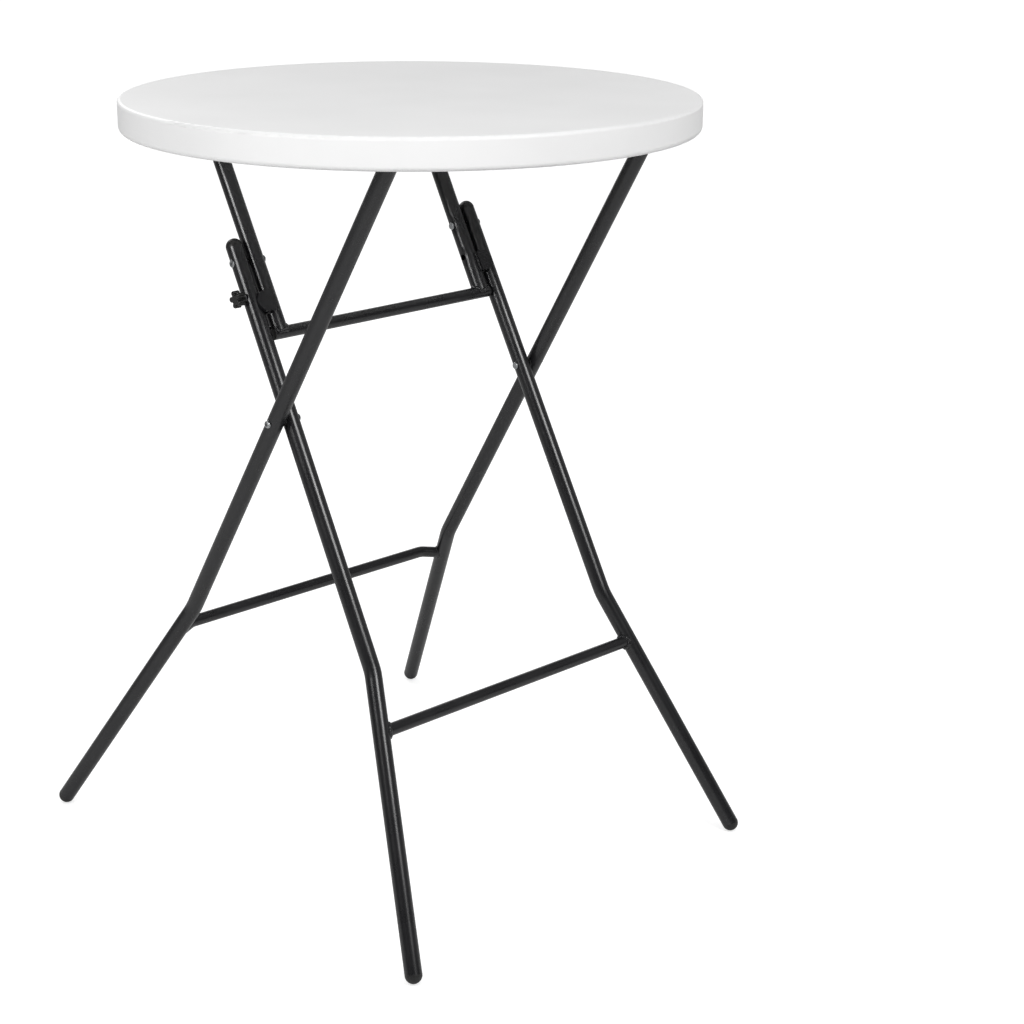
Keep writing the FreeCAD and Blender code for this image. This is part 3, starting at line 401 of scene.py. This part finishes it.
# The way the camera looks, past the table
BACKDROP = Vector((-0.68, 0.66, -0.32)).normalized()
# The way to the pale side wall of the studio
SIDE_WALL = Vector((0.15, 0.95, 0.25)).normalized()
WHITE = (1, 1, 1, 1)
FLOOR_SIZE = 60
FLOOR_Z = -0.0005

bpy.ops.object.select_all(action="DESELECT")
bpy.ops.mesh.primitive_plane_add(size=FLOOR_SIZE, location=(0, 0, FLOOR_Z))
floor = bpy.context.active_object
floor.name = "studio_floor"
floor_paint, tree = new_material("white_studio_floor")
path = add_node(tree, "ShaderNodeLightPath")
place = add_node(tree, "ShaderNodeTexCoord")
away = add_node(tree, "ShaderNodeVectorMath", {0: place.outputs["Object"]}, operation="LENGTH")
white_out = add_node(tree, "ShaderNodeMapRange",
                     {"Value": away.outputs["Value"], "From Min": 1.0, "From Max": 4.0,
                      "To Min": 0.60, "To Max": 0.80})
near = add_node(tree, "ShaderNodeMapRange",
                {"Value": away.outputs["Value"], "From Min": 0.8, "From Max": 3.0,
                 "To Min": 0.04, "To Max": 0.0})
mirrored = add_node(tree, "ShaderNodeMath",
                    {0: path.outputs["Is Glossy Ray"], 1: near.outputs["Result"]},
                    operation="MULTIPLY")
lift = add_node(tree, "ShaderNodeMath",
                {0: path.outputs["Is Camera Ray"], 1: white_out.outputs["Result"],
                 2: mirrored.outputs["Value"]}, operation="MULTIPLY_ADD")
matt = add_node(tree, "ShaderNodeBsdfDiffuse", {"Color": linear("#d0d0d0")})
glow = add_node(tree, "ShaderNodeEmission", {"Color": WHITE, "Strength": lift.outputs["Value"]})
both = add_node(tree, "ShaderNodeAddShader", {0: matt.outputs[0], 1: glow.outputs[0]})
# From below the floor is clear, so that the underside can be looked at
below = add_node(tree, "ShaderNodeNewGeometry")
clear = add_node(tree, "ShaderNodeBsdfTransparent")
shown = add_node(tree, "ShaderNodeMixShader",
                 {0: below.outputs["Backfacing"], 1: both.outputs[0], 2: clear.outputs[0]})
add_node(tree, "ShaderNodeOutputMaterial", {"Surface": shown.outputs[0]})
floor.data.materials.append(floor_paint)

# The world is white behind the table, and elsewhere a studio that is lit from its ceiling
world = bpy.data.worlds.new("studio")
bpy.context.scene.world = world
world.use_nodes = True
tree = world.node_tree
tree.nodes.clear()
path = add_node(tree, "ShaderNodeLightPath")
way = add_node(tree, "ShaderNodeTexCoord").outputs["Generated"]
height = add_node(tree, "ShaderNodeSeparateXYZ", {"Vector": way})
above = add_node(tree, "ShaderNodeMath", {0: height.outputs["Z"], 1: 0.0}, operation="MAXIMUM")
square = add_node(tree, "ShaderNodeMath", {0: above.outputs["Value"], 1: 2.0}, operation="POWER")
ceiling = add_node(tree, "ShaderNodeMapRange",
                   {"Value": square.outputs["Value"], "To Min": 0.15, "To Max": 0.76})
# What the gloss of the table mirrors: a dim room, the backdrop and the side wall
mirrored = add_node(tree, "ShaderNodeMapRange",
                    {"Value": square.outputs["Value"], "To Min": 0.03, "To Max": 0.13}).outputs["Result"]
for wall, start, full, level in ((BACKDROP, 0.55, 0.80, 0.85), (SIDE_WALL, 0.68, 0.92, 0.32)):
    facing = add_node(tree, "ShaderNodeVectorMath", {0: way, 1: wall}, operation="DOT_PRODUCT")
    pale = add_node(tree, "ShaderNodeMapRange",
                    {"Value": facing.outputs["Value"], "From Min": start, "From Max": full,
                     "To Max": level})
    mirrored = add_node(tree, "ShaderNodeMath", {0: mirrored, 1: pale.outputs["Result"]},
                        operation="MAXIMUM").outputs["Value"]
light = add_node(tree, "ShaderNodeMix",
                 {"Factor": path.outputs["Is Glossy Ray"], "A": ceiling.outputs["Result"],
                  "B": mirrored})
seen = add_node(tree, "ShaderNodeMath",
                {0: path.outputs["Is Camera Ray"], 1: path.outputs["Is Transmission Ray"]},
                operation="MAXIMUM")
strength = add_node(tree, "ShaderNodeMix",
                    {"Factor": seen.outputs["Value"], "A": light.outputs["Result"], "B": 1.0})
sky = add_node(tree, "ShaderNodeBackground", {"Color": WHITE, "Strength": strength.outputs["Result"]})
add_node(tree, "ShaderNodeOutputWorld", {"Surface": sky.outputs[0]})


def softbox(name, place, target, width, height, radiance):
    bpy.ops.object.light_add(type="AREA", location=place)
    lamp = bpy.context.active_object
    lamp.name = name
    lamp.data.shape = "ELLIPSE"
    lamp.data.size = width
    lamp.data.size_y = height
    lamp.data.energy = radiance * math.pi * (math.pi / 4 * width * height)
    lamp.rotation_euler = (Vector(target) - Vector(place)).to_track_quat("-Z", "Y").to_euler()
    return lamp


softbox("left_softbox", place=(0.15, -2.0, 1.60), target=(0.0, 0.0, 0.9),
        width=0.80, height=0.40, radiance=19.0)
softbox("right_softbox", place=(3.25, 0.05, 2.75), target=(0.05, 0.0, 0.65),
        width=1.5, height=1.0, radiance=17.0)
softbox("back_softbox", place=(-3.0, 0.5, 2.6), target=(0.0, 0.0, 0.75),
        width=1.3, height=1.1, radiance=7.5)
# The fills light the white top and aren't mirrored in the tubes
fills = [softbox("front_fill", place=(2.1, -2.6, 2.5), target=(0.0, 0.0, 0.9),
                 width=1.2, height=1.2, radiance=3.9),
         softbox("back_fill", place=(-1.0, 2.9, 2.3), target=(0.0, 0.0, 0.9),
                 width=1.2, height=1.2, radiance=3.5)]
for fill in fills:
    fill.visible_glossy = False

CAMERA_PLACE = (2.224128, -1.949531, 1.482901)
CAMERA_TURN = (1.2482392, -0.0064391, 0.8014180)
bpy.ops.object.camera_add(location=CAMERA_PLACE, rotation=CAMERA_TURN)
camera = bpy.context.active_object
camera.data.sensor_fit = "HORIZONTAL"
camera.data.sensor_width = 36.0
camera.data.lens = 74.36585
bpy.context.scene.camera = camera
bpy.context.scene.view_settings.view_transform = "Standard"
